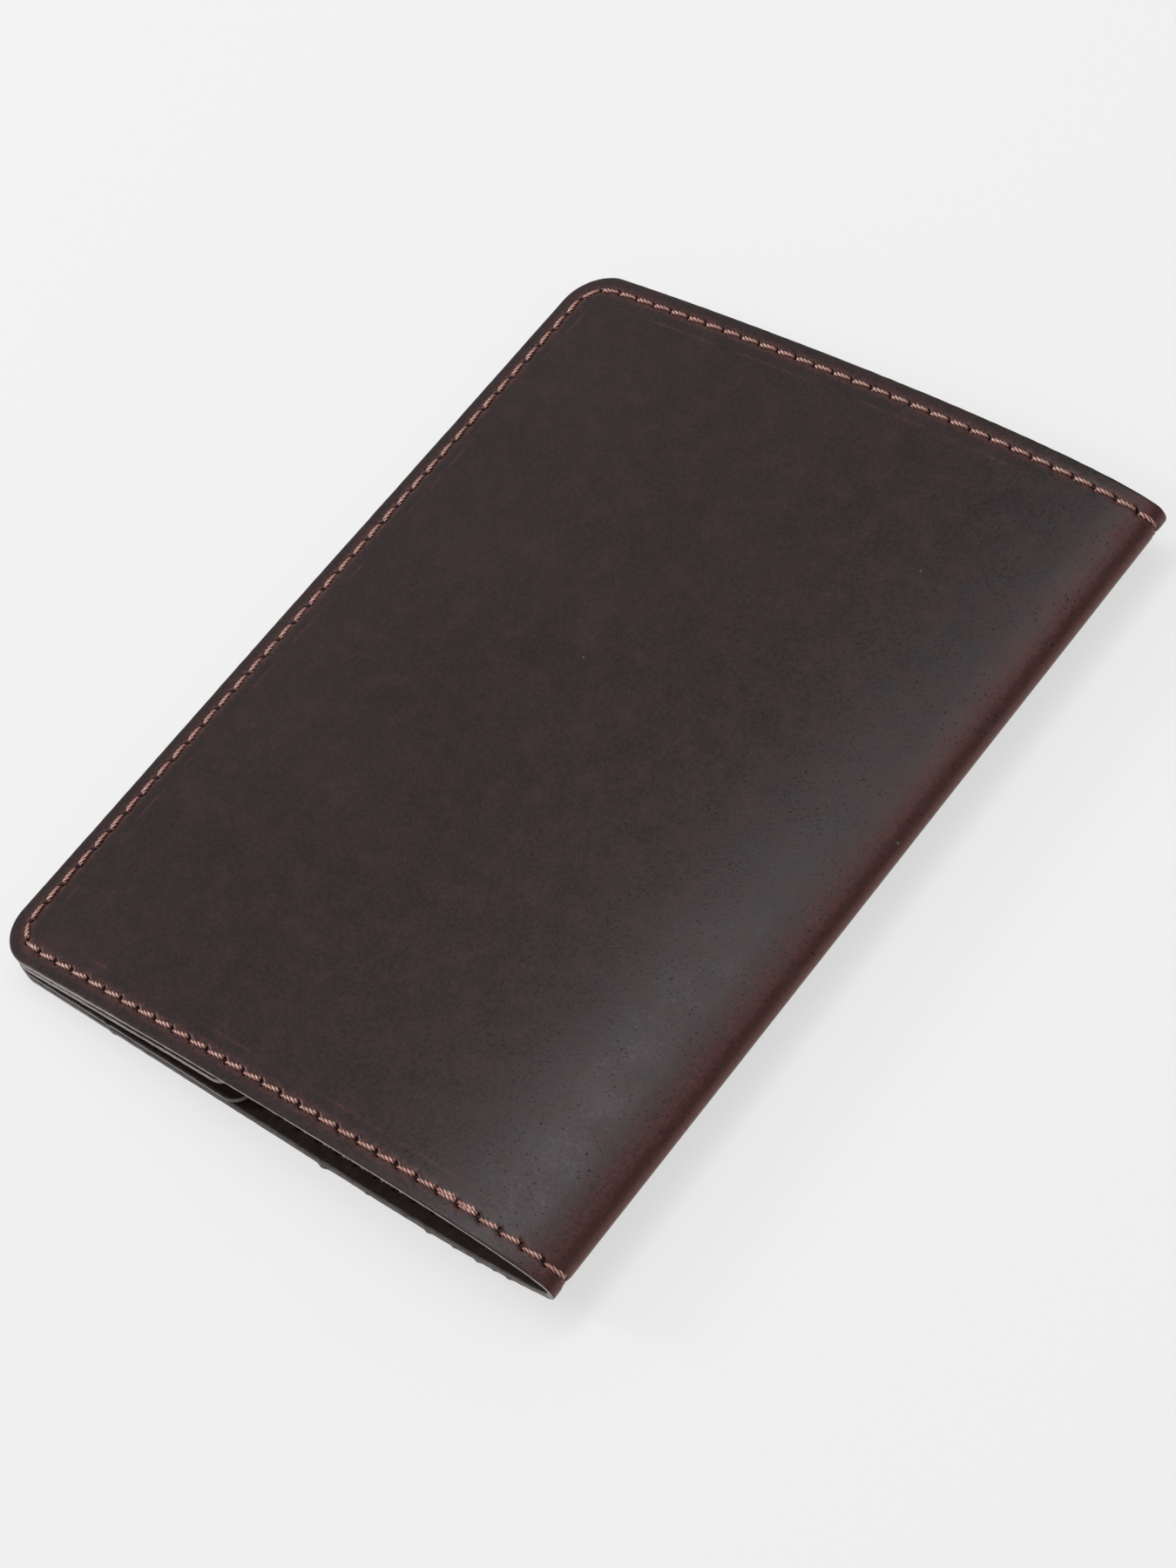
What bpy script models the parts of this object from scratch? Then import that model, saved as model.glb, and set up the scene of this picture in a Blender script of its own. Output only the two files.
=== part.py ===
"""A leather passport holder, lying closed on its back cover.

Units are metres. +Z is up, the spine is at -X, the fore-edge at +X and the head at +Y. The origin
is on the resting face, under the middle of the holder.

One leather cover is folded at the spine. A leather pocket flap lies inside each half of it, and one
thread in a sunk lockstitch runs round all the edges and holds them together. Each piece is cut and
stitched flat, and then bent round the cover's middle line. In the flat, u runs along the leather
from the back fore-edge, round the spine, to the front fore-edge; v runs towards the head; and w
rises out of the cover's outer face, with the middle of the cover at w = 0.
"""

import bisect
import math

import bmesh
import bpy
from mathutils import Vector
from mathutils.geometry import interpolate_bezier

# The closed holder
HEIGHT = 0.140
WIDTH = 0.105
COVER_CORNER_RADIUS = 0.0070
COVER_THICKNESS = 0.00115

# The two pocket flaps
FLAP_THICKNESS = 0.0009
POCKET_DEPTH = 0.048
MOUTH_CORNER_RADIUS = 0.003
LAYER_GAP = 0.0003
POCKET_SLACK = 0.0005
SLACK_RUN = 0.025
FLAPS_APART = 0.0002

# The fold at the spine, and how the covers leave it
FOLD_OUTER_RADIUS = 0.0023
FOLD_HEIGHT = 0.0068
BACK_FLARE = math.radians(20)
FRONT_FLARE = math.radians(20)
HINGE_ANGLE = math.radians(45)
HINGE_GAP = 0.0010
FOLD_SEGMENTS = 3

# The back cover is flat, and curls up to the fold
CURL_START = 0.065
CURL_FLAT_REACH = 0.019
CURL_FOLD_REACH = 0.010
CURL_SEGMENTS = 7

# The front cover rises from the fold to a crest, and falls to the fore-edge
FORE_SLOPE = math.radians(9)
BOW_FOLD_REACH = 0.014
BOW_FORE_REACH = 0.036
BOW_SEGMENTS = 14

# The seam
SEAM_INSET = 0.0026
STITCH_PITCH = 0.00345
THREAD_WIDTH = 0.0006
THREAD_DEPTH = 0.00030
THREAD_CLEARANCE = 0.00012
THREAD_SUNK = 0.00005
MOUTH_CLEARANCE = 0.0003
MOUTH_IN_STITCH = 0.5
STEP_PAST_HOLE = 0.00004

# The looks
BROWN = (0.045, 0.030, 0.028)
BROWN_ROUGHNESS = 0.55
TAN = (0.52, 0.20, 0.14)
TAN_ROUGHNESS = 0.5

CORNER_SEGMENTS = 6
CUTTER_MARGIN = 0.001
SAME_PLACE = 1e-6
SHARP_ANGLE = math.radians(30)

FOLD_MIDDLE_RADIUS = FOLD_OUTER_RADIUS - COVER_THICKNESS / 2
HOLE_WIDTH = THREAD_WIDTH + 2 * THREAD_CLEARANCE
SEAM_CORNER_RADIUS = COVER_CORNER_RADIUS - SEAM_INSET
SEAM_V = HEIGHT / 2 - SEAM_INSET
CLOSED_STACK = 2 * (COVER_THICKNESS + LAYER_GAP + FLAP_THICKNESS) + FLAPS_APART
OUTER_FACE = COVER_THICKNESS / 2
COVER_INNER_FACE = -COVER_THICKNESS / 2
FLAP_OUTER_FACE = COVER_INNER_FACE - LAYER_GAP
FLAP_INNER_FACE = FLAP_OUTER_FACE - FLAP_THICKNESS


def clear_scene():
    for obj in list(bpy.data.objects):
        bpy.data.objects.remove(obj, do_unlink=True)


def make_material(name, colour, roughness):
    material = bpy.data.materials.new(name)
    material.use_nodes = True
    shader = material.node_tree.nodes["Principled BSDF"]
    shader.inputs["Base Color"].default_value = (*colour, 1)
    shader.inputs["Roughness"].default_value = roughness
    shader.inputs["Metallic"].default_value = 0
    return material


# The cover's middle line, in the XZ plane


def fold_point(angle):
    """A point of the fold's middle line. The angle is 0 at its tip and rises towards the front."""
    centre = Vector((-WIDTH / 2 + FOLD_OUTER_RADIUS, FOLD_HEIGHT))
    return centre + FOLD_MIDDLE_RADIUS * Vector((-math.cos(angle), math.sin(angle)))


def arc_points(start, end):
    steps = range(1, FOLD_SEGMENTS + 1)
    return [fold_point(start + (end - start) * step / FOLD_SEGMENTS) for step in steps]


def cover_line():
    """The middle line's corners, and the places in it of the two hinge lines and the fold's tip."""
    fold_start = BACK_FLARE - math.pi / 2
    fold_end = math.pi / 2 - FRONT_FLARE
    back_end = Vector((WIDTH / 2, OUTER_FACE))
    curl_start = Vector((WIDTH / 2 - CURL_START, OUTER_FACE))
    curl_end = fold_point(fold_start)
    curl = interpolate_bezier(
        curl_start,
        curl_start - Vector((CURL_FLAT_REACH, 0)),
        curl_end + CURL_FOLD_REACH * Vector((math.cos(BACK_FLARE), -math.sin(BACK_FLARE))),
        curl_end,
        CURL_SEGMENTS + 1,
    )
    line = [back_end, *curl]
    line += arc_points(fold_start, -HINGE_ANGLE)
    back_hinge = len(line) - 1
    line += arc_points(-HINGE_ANGLE, 0)
    tip = len(line) - 1
    line += arc_points(0, HINGE_ANGLE)
    front_hinge = len(line) - 1
    line += arc_points(HINGE_ANGLE, fold_end)
    bow_start = fold_point(fold_end)
    front_end = Vector((WIDTH / 2 - OUTER_FACE * math.sin(FORE_SLOPE), CLOSED_STACK - OUTER_FACE))
    bow = interpolate_bezier(
        bow_start,
        bow_start + BOW_FOLD_REACH * Vector((math.cos(FRONT_FLARE), math.sin(FRONT_FLARE))),
        front_end - BOW_FORE_REACH * Vector((math.cos(FORE_SLOPE), -math.sin(FORE_SLOPE))),
        front_end,
        BOW_SEGMENTS + 1,
    )
    line += bow[1:]
    return line, back_hinge, tip, front_hinge


def running_lengths(line):
    lengths = [0.0]
    for start, end in zip(line, line[1:]):
        lengths.append(lengths[-1] + (end - start).length)
    return lengths


def outward_offsets(line):
    """At each corner, how far a point moves for each metre that it stands out of the middle line."""
    normals = []
    for start, end in zip(line, line[1:]):
        along = (end - start).normalized()
        normals.append(Vector((-along.y, along.x)))
    offsets = [normals[0]]
    for before, after in zip(normals, normals[1:]):
        middle = (before + after).normalized()
        offsets.append(middle / middle.dot(after))
    return offsets + [normals[-1]]


LINE, BACK_HINGE, TIP, FRONT_HINGE = cover_line()
LINE_U = running_lengths(LINE)
OFFSETS = outward_offsets(LINE)
BACK_HINGE_U = LINE_U[BACK_HINGE]
TIP_U = LINE_U[TIP]
FRONT_HINGE_U = LINE_U[FRONT_HINGE]
END_U = LINE_U[-1]
SLACK_ENDS = (SLACK_RUN, END_U - SLACK_RUN)


def bent(u, v, w):
    """The place in the holder of a point of the flat layout."""
    index = min(max(bisect.bisect_right(LINE_U, u) - 1, 0), len(LINE) - 2)
    share = (u - LINE_U[index]) / (LINE_U[index + 1] - LINE_U[index])
    start = LINE[index] + w * OFFSETS[index]
    end = LINE[index + 1] + w * OFFSETS[index + 1]
    place = start.lerp(end, share)
    return Vector((place.x, v, place.y))


def pocket_slack(u):
    """How far a flap stands off its cover beyond the layer gap, from none at the fore-edge."""
    from_fore_edge = min(u, END_U - u)
    return POCKET_SLACK * min(max(from_fore_edge, 0) / SLACK_RUN, 1)


def bend(bm):
    """Cuts a flat piece at each corner of the middle line, and bends it there."""
    for u in (*LINE_U, *SLACK_ENDS):
        geometry = bm.verts[:] + bm.edges[:] + bm.faces[:]
        bmesh.ops.bisect_plane(
            bm, geom=geometry, plane_co=(u, 0, 0), plane_no=(1, 0, 0), dist=SAME_PLACE
        )
    for vert in bm.verts:
        u, v, w = vert.co
        if w < (COVER_INNER_FACE + FLAP_OUTER_FACE) / 2:
            w -= pocket_slack(u)
        vert.co = bent(u, v, w)


# Flat pieces


def flat_sheet(low_u, high_u, low_w, high_w, low_radius, high_radius):
    """A sheet from tail to head, with round corners of one radius at each end."""
    bm = bmesh.new()
    ends = ((low_u, low_radius), (high_u, high_radius))
    bmesh.ops.create_grid(bm, x_segments=1, y_segments=1, size=0.5)
    bmesh.ops.scale(bm, vec=(high_u - low_u, HEIGHT, 1), verts=bm.verts)
    bmesh.ops.translate(bm, vec=((high_u + low_u) / 2, 0, low_w), verts=bm.verts)
    for end_u, radius in ends:
        corners = [vert for vert in bm.verts if abs(vert.co.x - end_u) < SAME_PLACE]
        if radius > 0:
            bmesh.ops.bevel(
                bm,
                geom=corners,
                offset=radius,
                affect="VERTICES",
                segments=CORNER_SEGMENTS,
                profile=0.5,
                material=-1,
            )
    thicken(bm, bm.faces[:], high_w - low_w)
    bmesh.ops.recalc_face_normals(bm, faces=bm.faces)
    return bm


def thicken(bm, faces, rise):
    """Extrudes flat faces along w into a closed piece, and leaves the faces themselves in place."""
    extruded = bmesh.ops.extrude_face_region(bm, geom=faces)["geom"]
    risen = [item for item in extruded if isinstance(item, bmesh.types.BMVert)]
    bmesh.ops.translate(bm, vec=(0, 0, rise), verts=risen)


# The seam of one half, from the middle of the spine at the head round to its middle at the tail


def seam_point(distance, spine_reach):
    """(distance from the fore-edge, v) at this distance along the seam."""
    straight = spine_reach - SEAM_INSET - SEAM_CORNER_RADIUS
    arc = SEAM_CORNER_RADIUS * math.pi / 2
    half = straight + arc + SEAM_V - SEAM_CORNER_RADIUS
    if distance > half:
        from_edge, v = seam_point(2 * half - distance, spine_reach)
        return from_edge, -v
    if distance <= straight:
        return spine_reach - distance, SEAM_V
    if distance < straight + arc:
        angle = (distance - straight) / SEAM_CORNER_RADIUS
        from_edge = SEAM_INSET + SEAM_CORNER_RADIUS * (1 - math.sin(angle))
        return from_edge, SEAM_V - SEAM_CORNER_RADIUS * (1 - math.cos(angle))
    return SEAM_INSET, SEAM_V - SEAM_CORNER_RADIUS - (distance - straight - arc)


def seam_length(spine_reach):
    corner_saving = SEAM_CORNER_RADIUS * (2 - math.pi / 2)
    return 2 * (spine_reach - SEAM_INSET) + 2 * SEAM_V - 2 * corner_saving


def seam_stations(spine_reach, edge_reach):
    """(distance along the seam, whether a hole is there, whether the flap is there), in order.

    The open stretches, beside the pocket's mouth, and the stretch round the flap each take a whole
    number of stitches, but for the part of a stitch up to the mouth's edge. There the inner thread
    steps from the cover's face down to the flap's.
    """
    length = seam_length(spine_reach)
    open_length = spine_reach - POCKET_DEPTH
    open_holes = round(open_length / STITCH_PITCH - MOUTH_IN_STITCH)
    open_pitch = open_length / (open_holes + MOUTH_IN_STITCH)
    flap_length = length - 2 * open_length
    flap_holes = round(flap_length / STITCH_PITCH)
    flap_pitch = flap_length / flap_holes
    step_end = open_length - MOUTH_CLEARANCE
    step_start = open_pitch * open_holes + HOLE_WIDTH / 2 + STEP_PAST_HOLE
    opening = [(spine_reach - edge_reach, False, False)]
    opening += [(open_pitch * (hole + 1), True, False) for hole in range(open_holes)]
    opening += [(step_start, False, False), (step_end, False, True)]
    flap_start = open_length + flap_pitch * MOUTH_IN_STITCH
    round_flap = [(flap_start + flap_pitch * hole, True, True) for hole in range(flap_holes)]
    closing = [(length - distance, hole, flap) for distance, hole, flap in reversed(opening)]
    return opening + round_flap + closing


def half_seam(is_front, spine_reach, edge_reach):
    """The stations of one half's seam as (point in the flat, whether a hole, whether on the flap)."""
    stations = []
    for distance, hole, flap in seam_stations(spine_reach, edge_reach):
        from_edge, v = seam_point(distance, spine_reach)
        u = END_U - from_edge if is_front else from_edge
        stations.append((Vector((u, v)), hole, flap))
    return stations


def spine_seam(side):
    """The stitch over the spine at the head (side 1) or the tail (side -1)."""
    low, high = BACK_HINGE_U + HINGE_GAP / 2, FRONT_HINGE_U - HINGE_GAP / 2
    v = side * SEAM_V
    return [
        (Vector((low, v)), False, False),
        (Vector((TIP_U, v)), True, False),
        (Vector((high, v)), False, False),
    ]


def cross_lines(stations, width):
    """(left, right, whether on the flap, whether a leg starts here) along the seam."""
    lines = []
    points = [point for point, _, _ in stations]
    for index, (point, hole, flap) in enumerate(stations):
        along = (points[min(index + 1, len(points) - 1)] - points[max(index - 1, 0)]).normalized()
        side = Vector((-along.y, along.x)) * width / 2
        reach = along * width / 2
        shifts = (-reach, reach) if hole else (Vector((0, 0)),)
        for shift in shifts:
            starts_leg = hole and shift == -reach
            lines.append((point + shift + side, point + shift - side, flap, starts_leg))
    return lines


def strip(bm, lines, levels, rise):
    """A ribbon along the seam with its first face at these levels. It returns the leg faces."""
    pairs = []
    for (left, right, _, _), level in zip(lines, levels):
        pairs.append((bm.verts.new((*left, level)), bm.verts.new((*right, level))))
    faces = []
    for start, end in zip(pairs, pairs[1:]):
        faces.append(bm.faces.new((start[0], start[1], end[1], end[0])))
    legs = [face for face, line in zip(faces, lines) if line[3]]
    thicken(bm, faces, rise)
    return legs


def lockstitch(stations, width, outer_low, outer_high, inner_low, inner_high):
    """A ribbon along each face of the leather, joined through every hole by a square leg.

    The outer ribbon's levels are values of w. The inner ribbon's stand up from the inner face that
    it lies on, which is the flap's where there is a flap and the cover's elsewhere.
    """
    bm = bmesh.new()
    lines = cross_lines(stations, width)
    inner_faces = [FLAP_INNER_FACE if line[2] else COVER_INNER_FACE for line in lines]
    inner_levels = [face + inner_high for face in inner_faces]
    outer_legs = strip(bm, lines, [outer_low] * len(lines), outer_high - outer_low)
    inner_legs = strip(bm, lines, inner_levels, inner_low - inner_high)
    for upper, lower in zip(outer_legs, inner_legs):
        loops = upper.edges[:] + lower.edges[:]
        bmesh.ops.delete(bm, geom=[upper, lower], context="FACES_ONLY")
        bmesh.ops.bridge_loops(bm, edges=loops)
    bmesh.ops.recalc_face_normals(bm, faces=bm.faces)
    return bm


def seam_thread(stations):
    top = -THREAD_SUNK
    return lockstitch(
        stations,
        THREAD_WIDTH,
        OUTER_FACE + top - THREAD_DEPTH,
        OUTER_FACE + top,
        THREAD_SUNK,
        THREAD_SUNK + THREAD_DEPTH,
    )


def seam_cutter(stations):
    """The sunk channels and holes that the thread needs, open at both faces."""
    depth = THREAD_SUNK + THREAD_DEPTH + THREAD_CLEARANCE
    return lockstitch(
        extended(stations),
        HOLE_WIDTH,
        OUTER_FACE - depth,
        OUTER_FACE + CUTTER_MARGIN,
        -CUTTER_MARGIN,
        depth,
    )


def extended(stations):
    """The same seam, with both its ends drawn out past the leather's edge."""
    first, last = stations[0][0], stations[-1][0]
    before = first + (first - stations[1][0]).normalized() * CUTTER_MARGIN
    after = last + (last - stations[-2][0]).normalized() * CUTTER_MARGIN
    return [(before, False, False), *stations[1:-1], (after, False, False)]


# Objects


def flat_object(bm, name):
    mesh = bpy.data.meshes.new(name)
    bm.to_mesh(mesh)
    bm.free()
    obj = bpy.data.objects.new(name, mesh)
    bpy.context.scene.collection.objects.link(obj)
    return obj


def drilled(sheet, cutters):
    """The sheet, still flat, with its seam channels and holes cut."""
    flat = flat_object(sheet, "flat_leather")
    tools = [flat_object(cutter, "seam_cutter") for cutter in cutters]
    for tool in tools:
        cut = flat.modifiers.new("holes", "BOOLEAN")
        cut.operation = "DIFFERENCE"
        cut.solver = "EXACT"
        cut.object = tool
    graph = bpy.context.evaluated_depsgraph_get()
    bm = bmesh.new()
    bm.from_object(flat, graph)
    for obj in (flat, *tools):
        bpy.data.objects.remove(obj, do_unlink=True)
    return bm


def add_piece(name, bm, material, hinge):
    """Bends the flat piece and places it, with its origin on the hinge that carries it."""
    bend(bm)
    bmesh.ops.translate(bm, vec=-hinge, verts=bm.verts)
    obj = flat_object(bm, name)
    obj.data.materials.append(material)
    obj.data.shade_smooth()
    obj.data.set_sharp_from_angle(angle=SHARP_ANGLE)
    obj.location = hinge
    return obj


def hinge_place(side):
    """The hinge line on the back's (-1) or the front's (1) side of the fold's tip.

    A fold that opens flat about these two lines keeps the length of its middle line.
    """
    offset = FOLD_MIDDLE_RADIUS * math.pi / 4
    return Vector((-WIDTH / 2 + FOLD_OUTER_RADIUS - offset, 0, FOLD_HEIGHT + side * offset))


def build_half(side_name, is_front, hinge, leather, thread):
    """One half of the cover, with its flap and the thread that holds them."""
    if is_front:
        low_u, high_u = FRONT_HINGE_U + HINGE_GAP / 2, END_U
        flap_low, flap_high = END_U - POCKET_DEPTH, END_U
        cover_radii, flap_radii = (0, COVER_CORNER_RADIUS), (MOUTH_CORNER_RADIUS, COVER_CORNER_RADIUS)
        spine_reach, edge_reach = END_U - TIP_U, END_U - low_u
    else:
        low_u, high_u = 0, BACK_HINGE_U - HINGE_GAP / 2
        flap_low, flap_high = 0, POCKET_DEPTH
        cover_radii, flap_radii = (COVER_CORNER_RADIUS, 0), (COVER_CORNER_RADIUS, MOUTH_CORNER_RADIUS)
        spine_reach, edge_reach = TIP_U, high_u
    seam = half_seam(is_front, spine_reach, edge_reach)
    cover = flat_sheet(low_u, high_u, COVER_INNER_FACE, OUTER_FACE, *cover_radii)
    flap = flat_sheet(flap_low, flap_high, FLAP_INNER_FACE, FLAP_OUTER_FACE, *flap_radii)
    add_piece(f"{side_name}_cover", drilled(cover, [seam_cutter(seam)]), leather, hinge)
    add_piece(f"{side_name}_pocket_flap", drilled(flap, [seam_cutter(seam)]), leather, hinge)
    add_piece(f"{side_name}_seam_thread", seam_thread(seam), thread, hinge)


def build_spine(hinge, leather, thread):
    """The strip of the cover round the fold's tip, with a stitch over it at the head and the tail."""
    low_u, high_u = BACK_HINGE_U + HINGE_GAP / 2, FRONT_HINGE_U - HINGE_GAP / 2
    seams = {"head": spine_seam(1), "tail": spine_seam(-1)}
    fold = flat_sheet(low_u, high_u, COVER_INNER_FACE, OUTER_FACE, 0, 0)
    cutters = [seam_cutter(seam) for seam in seams.values()]
    add_piece("spine_fold", drilled(fold, cutters), leather, hinge)
    for end, seam in seams.items():
        add_piece(f"spine_seam_thread_{end}", seam_thread(seam), thread, hinge)


clear_scene()
brown_leather = make_material("brown_leather", BROWN, BROWN_ROUGHNESS)
tan_thread = make_material("tan_thread", TAN, TAN_ROUGHNESS)
build_half("back", False, Vector((0, 0, 0)), brown_leather, tan_thread)
build_spine(hinge_place(-1), brown_leather, tan_thread)
build_half("front", True, hinge_place(1), brown_leather, tan_thread)
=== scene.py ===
"""A leather passport holder, lying closed on its back cover, dressed in waxed brown leather and
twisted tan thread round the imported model. Metres, +Z up, the spine at -X and the head at +Y."""

import bisect
import math

import bmesh
import bpy
from mathutils import Matrix, Vector, kdtree, noise
from mathutils.geometry import interpolate_bezier


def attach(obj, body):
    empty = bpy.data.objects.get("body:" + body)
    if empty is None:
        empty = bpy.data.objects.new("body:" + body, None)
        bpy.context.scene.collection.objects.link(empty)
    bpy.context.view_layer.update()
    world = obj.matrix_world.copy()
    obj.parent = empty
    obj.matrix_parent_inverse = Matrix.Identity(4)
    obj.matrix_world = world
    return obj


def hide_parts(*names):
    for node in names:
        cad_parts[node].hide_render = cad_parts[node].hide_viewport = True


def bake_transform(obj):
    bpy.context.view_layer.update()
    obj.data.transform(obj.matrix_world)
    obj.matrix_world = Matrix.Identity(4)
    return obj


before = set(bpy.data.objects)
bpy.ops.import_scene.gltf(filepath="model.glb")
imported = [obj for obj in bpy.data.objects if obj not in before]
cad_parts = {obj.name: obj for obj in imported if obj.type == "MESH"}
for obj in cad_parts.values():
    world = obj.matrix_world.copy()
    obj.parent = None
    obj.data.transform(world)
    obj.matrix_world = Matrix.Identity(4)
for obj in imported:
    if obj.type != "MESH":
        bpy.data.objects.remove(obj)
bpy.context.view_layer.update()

# ---------------------------------------------------------------------------------------------
# The camera stands over the spine at the head end, and looks down across the front cover.

CAMERA_PLACE = Vector((-0.25992, 0.17195, 0.41268))
CAMERA_AIM = Vector((-0.003555, 0.003417, 0.0))
CAMERA_ROLL = math.radians(22.437)
CAMERA_LENS = 84.25
SENSOR_SIDE = 36.0

camera_data = bpy.data.cameras.new("camera")
camera_data.lens = CAMERA_LENS
camera_data.sensor_width = SENSOR_SIDE
camera_data.sensor_fit = "AUTO"
camera = bpy.data.objects.new("camera", camera_data)
camera.location = CAMERA_PLACE
aim = (CAMERA_AIM - CAMERA_PLACE).to_track_quat("-Z", "Y").to_matrix()
camera.rotation_euler = (aim @ Matrix.Rotation(-CAMERA_ROLL, 3, "Z")).to_euler()
bpy.context.scene.collection.objects.link(camera)
bpy.context.scene.camera = camera
bpy.context.scene.view_settings.view_transform = "Standard"

# ---------------------------------------------------------------------------------------------
# A pale table top, an even pale room, and three soft lamps. Two high ones give the sheen along
# the spine and the shine of the fold, and the low one beyond the fore-edge throws the pale shadow.

ROOM_LEVEL = 0.545
BACKDROP = (0.863, 0.863, 0.863, 1)
TABLE_MATT = (0.85, 0.85, 0.85, 1)
TABLE_SIDE = 6.0
TABLE_DROP = 0.00005
SHADOW_SHARE = 0.27
LAMP_AIM = Vector((-0.02, 0.0, 0.0))
# Each lamp: (name, place, width, length, power)
LAMPS = (
    ("sheen_lamp", Vector((0.30, -0.12, 1.14)), 0.55, 0.30, 4.4),
    ("fold_lamp", Vector((0.00, -0.62, 1.12)), 0.34, 0.44, 1.8),
    ("shadow_lamp", Vector((1.08, 0.42, 0.60)), 0.26, 0.26, 5.6),
)


def link(tree, source, target):
    tree.links.new(source, target)


def node(tree, kind, **settings):
    made = tree.nodes.new(kind)
    for name, value in settings.items():
        setattr(made, name, value)
    return made


def seen_directly(tree):
    """1 for what the camera sees itself, and in gloss or glass, and 0 for what only lights."""
    path = node(tree, "ShaderNodeLightPath")
    seen = path.outputs["Is Camera Ray"]
    for ray in ("Is Glossy Ray", "Is Transmission Ray"):
        either = node(tree, "ShaderNodeMath", operation="MAXIMUM")
        link(tree, seen, either.inputs[0])
        link(tree, path.outputs[ray], either.inputs[1])
        seen = either.outputs[0]
    return seen


world = bpy.data.worlds.new("room")
world.use_nodes = True
bpy.context.scene.world = world
room = world.node_tree
room.nodes.clear()
even_light = node(room, "ShaderNodeBackground")
even_light.inputs["Color"].default_value = (1, 1, 1, 1)
even_light.inputs["Strength"].default_value = ROOM_LEVEL
backdrop = node(room, "ShaderNodeBackground")
backdrop.inputs["Color"].default_value = BACKDROP
backdrop.inputs["Strength"].default_value = 1
room_mix = node(room, "ShaderNodeMixShader")
link(room, seen_directly(room), room_mix.inputs["Fac"])
link(room, even_light.outputs[0], room_mix.inputs[1])
link(room, backdrop.outputs[0], room_mix.inputs[2])
link(room, room_mix.outputs[0], node(room, "ShaderNodeOutputWorld").inputs["Surface"])

for name, place, width, length, power in LAMPS:
    lamp_data = bpy.data.lights.new(name, "AREA")
    lamp_data.shape = "RECTANGLE"
    lamp_data.size = width
    lamp_data.size_y = length
    lamp_data.energy = power
    lamp = bpy.data.objects.new(name, lamp_data)
    lamp.location = place
    lamp.rotation_euler = (LAMP_AIM - place).to_track_quat("-Z", "Y").to_euler()
    bpy.context.scene.collection.objects.link(lamp)

table_top = bpy.data.materials.new("table_top")
table_top.use_nodes = True
tree = table_top.node_tree
tree.nodes.clear()
matt = node(tree, "ShaderNodeBsdfDiffuse")
matt.inputs["Color"].default_value = TABLE_MATT
glow = node(tree, "ShaderNodeEmission")
glow.inputs["Color"].default_value = BACKDROP
glow.inputs["Strength"].default_value = 1
share = node(tree, "ShaderNodeMath", operation="MULTIPLY")
share.inputs[1].default_value = 1 - SHADOW_SHARE
link(tree, seen_directly(tree), share.inputs[0])
blend_in = node(tree, "ShaderNodeMixShader")
link(tree, share.outputs[0], blend_in.inputs["Fac"])
link(tree, matt.outputs[0], blend_in.inputs[1])
link(tree, glow.outputs[0], blend_in.inputs[2])
link(tree, blend_in.outputs[0], node(tree, "ShaderNodeOutputMaterial").inputs["Surface"])

bm = bmesh.new()
bmesh.ops.create_grid(bm, x_segments=1, y_segments=1, size=TABLE_SIDE / 2)
table_mesh = bpy.data.meshes.new("table")
bm.to_mesh(table_mesh)
bm.free()
table = bpy.data.objects.new("table", table_mesh)
table_mesh.materials.append(table_top)
table.location.z = -TABLE_DROP
bpy.context.scene.collection.objects.link(table)

# ---------------------------------------------------------------------------------------------
# The cover is one piece of thick waxed leather, cut with round corners, folded at the spine and
# sewn to the two flaps round its edges. It is made flat, with its needle slits pressed in, and
# then bent. The fold's tip parts it into two pieces, one for each half.

# In the flat, u runs from the back fore-edge round the spine to the front fore-edge, v towards
# the head, and w out of the grain.
HEIGHT = 0.140
WIDTH = 0.105
COVER_CORNER = 0.0070
COVER_THICKNESS = 0.00115
# The flaps behind it, and the room between the layers
FLAP_THICKNESS = 0.0009
POCKET_DEPTH = 0.048
MOUTH_CORNER = 0.003
LAYER_GAP = 0.0003
POCKET_SLACK = 0.0005
SLACK_RUN = 0.025
FLAPS_APART = 0.0002

# The fold, how the flat back curls up to it, and the front's bow from it down to the fore-edge
FOLD_OUTER_RADIUS = 0.0023
FOLD_HEIGHT = 0.0068
FLARE = math.radians(20)
CURL_START = 0.065
CURL_FLAT_REACH = 0.019
CURL_FOLD_REACH = 0.010
FORE_SLOPE = math.radians(9)
BOW_FOLD_REACH = 0.014
BOW_FORE_REACH = 0.036

# The seam round the edges
SEAM_INSET = 0.0026
STITCH_PITCH = 0.00345
# A flap's mouth lies this share of a stitch past the last needle slit of the open stretch.
MOUTH_IN_STITCH = 0.5

HALF = COVER_THICKNESS / 2
FOLD_RADIUS = FOLD_OUTER_RADIUS - HALF
FLAP_OUTER_W = -HALF - LAYER_GAP
FLAP_INNER_W = FLAP_OUTER_W - FLAP_THICKNESS
STACK = 2 * (COVER_THICKNESS + LAYER_GAP + FLAP_THICKNESS) + FLAPS_APART
SEAM_CORNER = COVER_CORNER - SEAM_INSET
SEAM_V = HEIGHT / 2 - SEAM_INSET

# Steps of the middle line through the fold, the curl and the bow
FOLD_STEPS = 48
CURL_STEPS = 60
BOW_STEPS = 110


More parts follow.
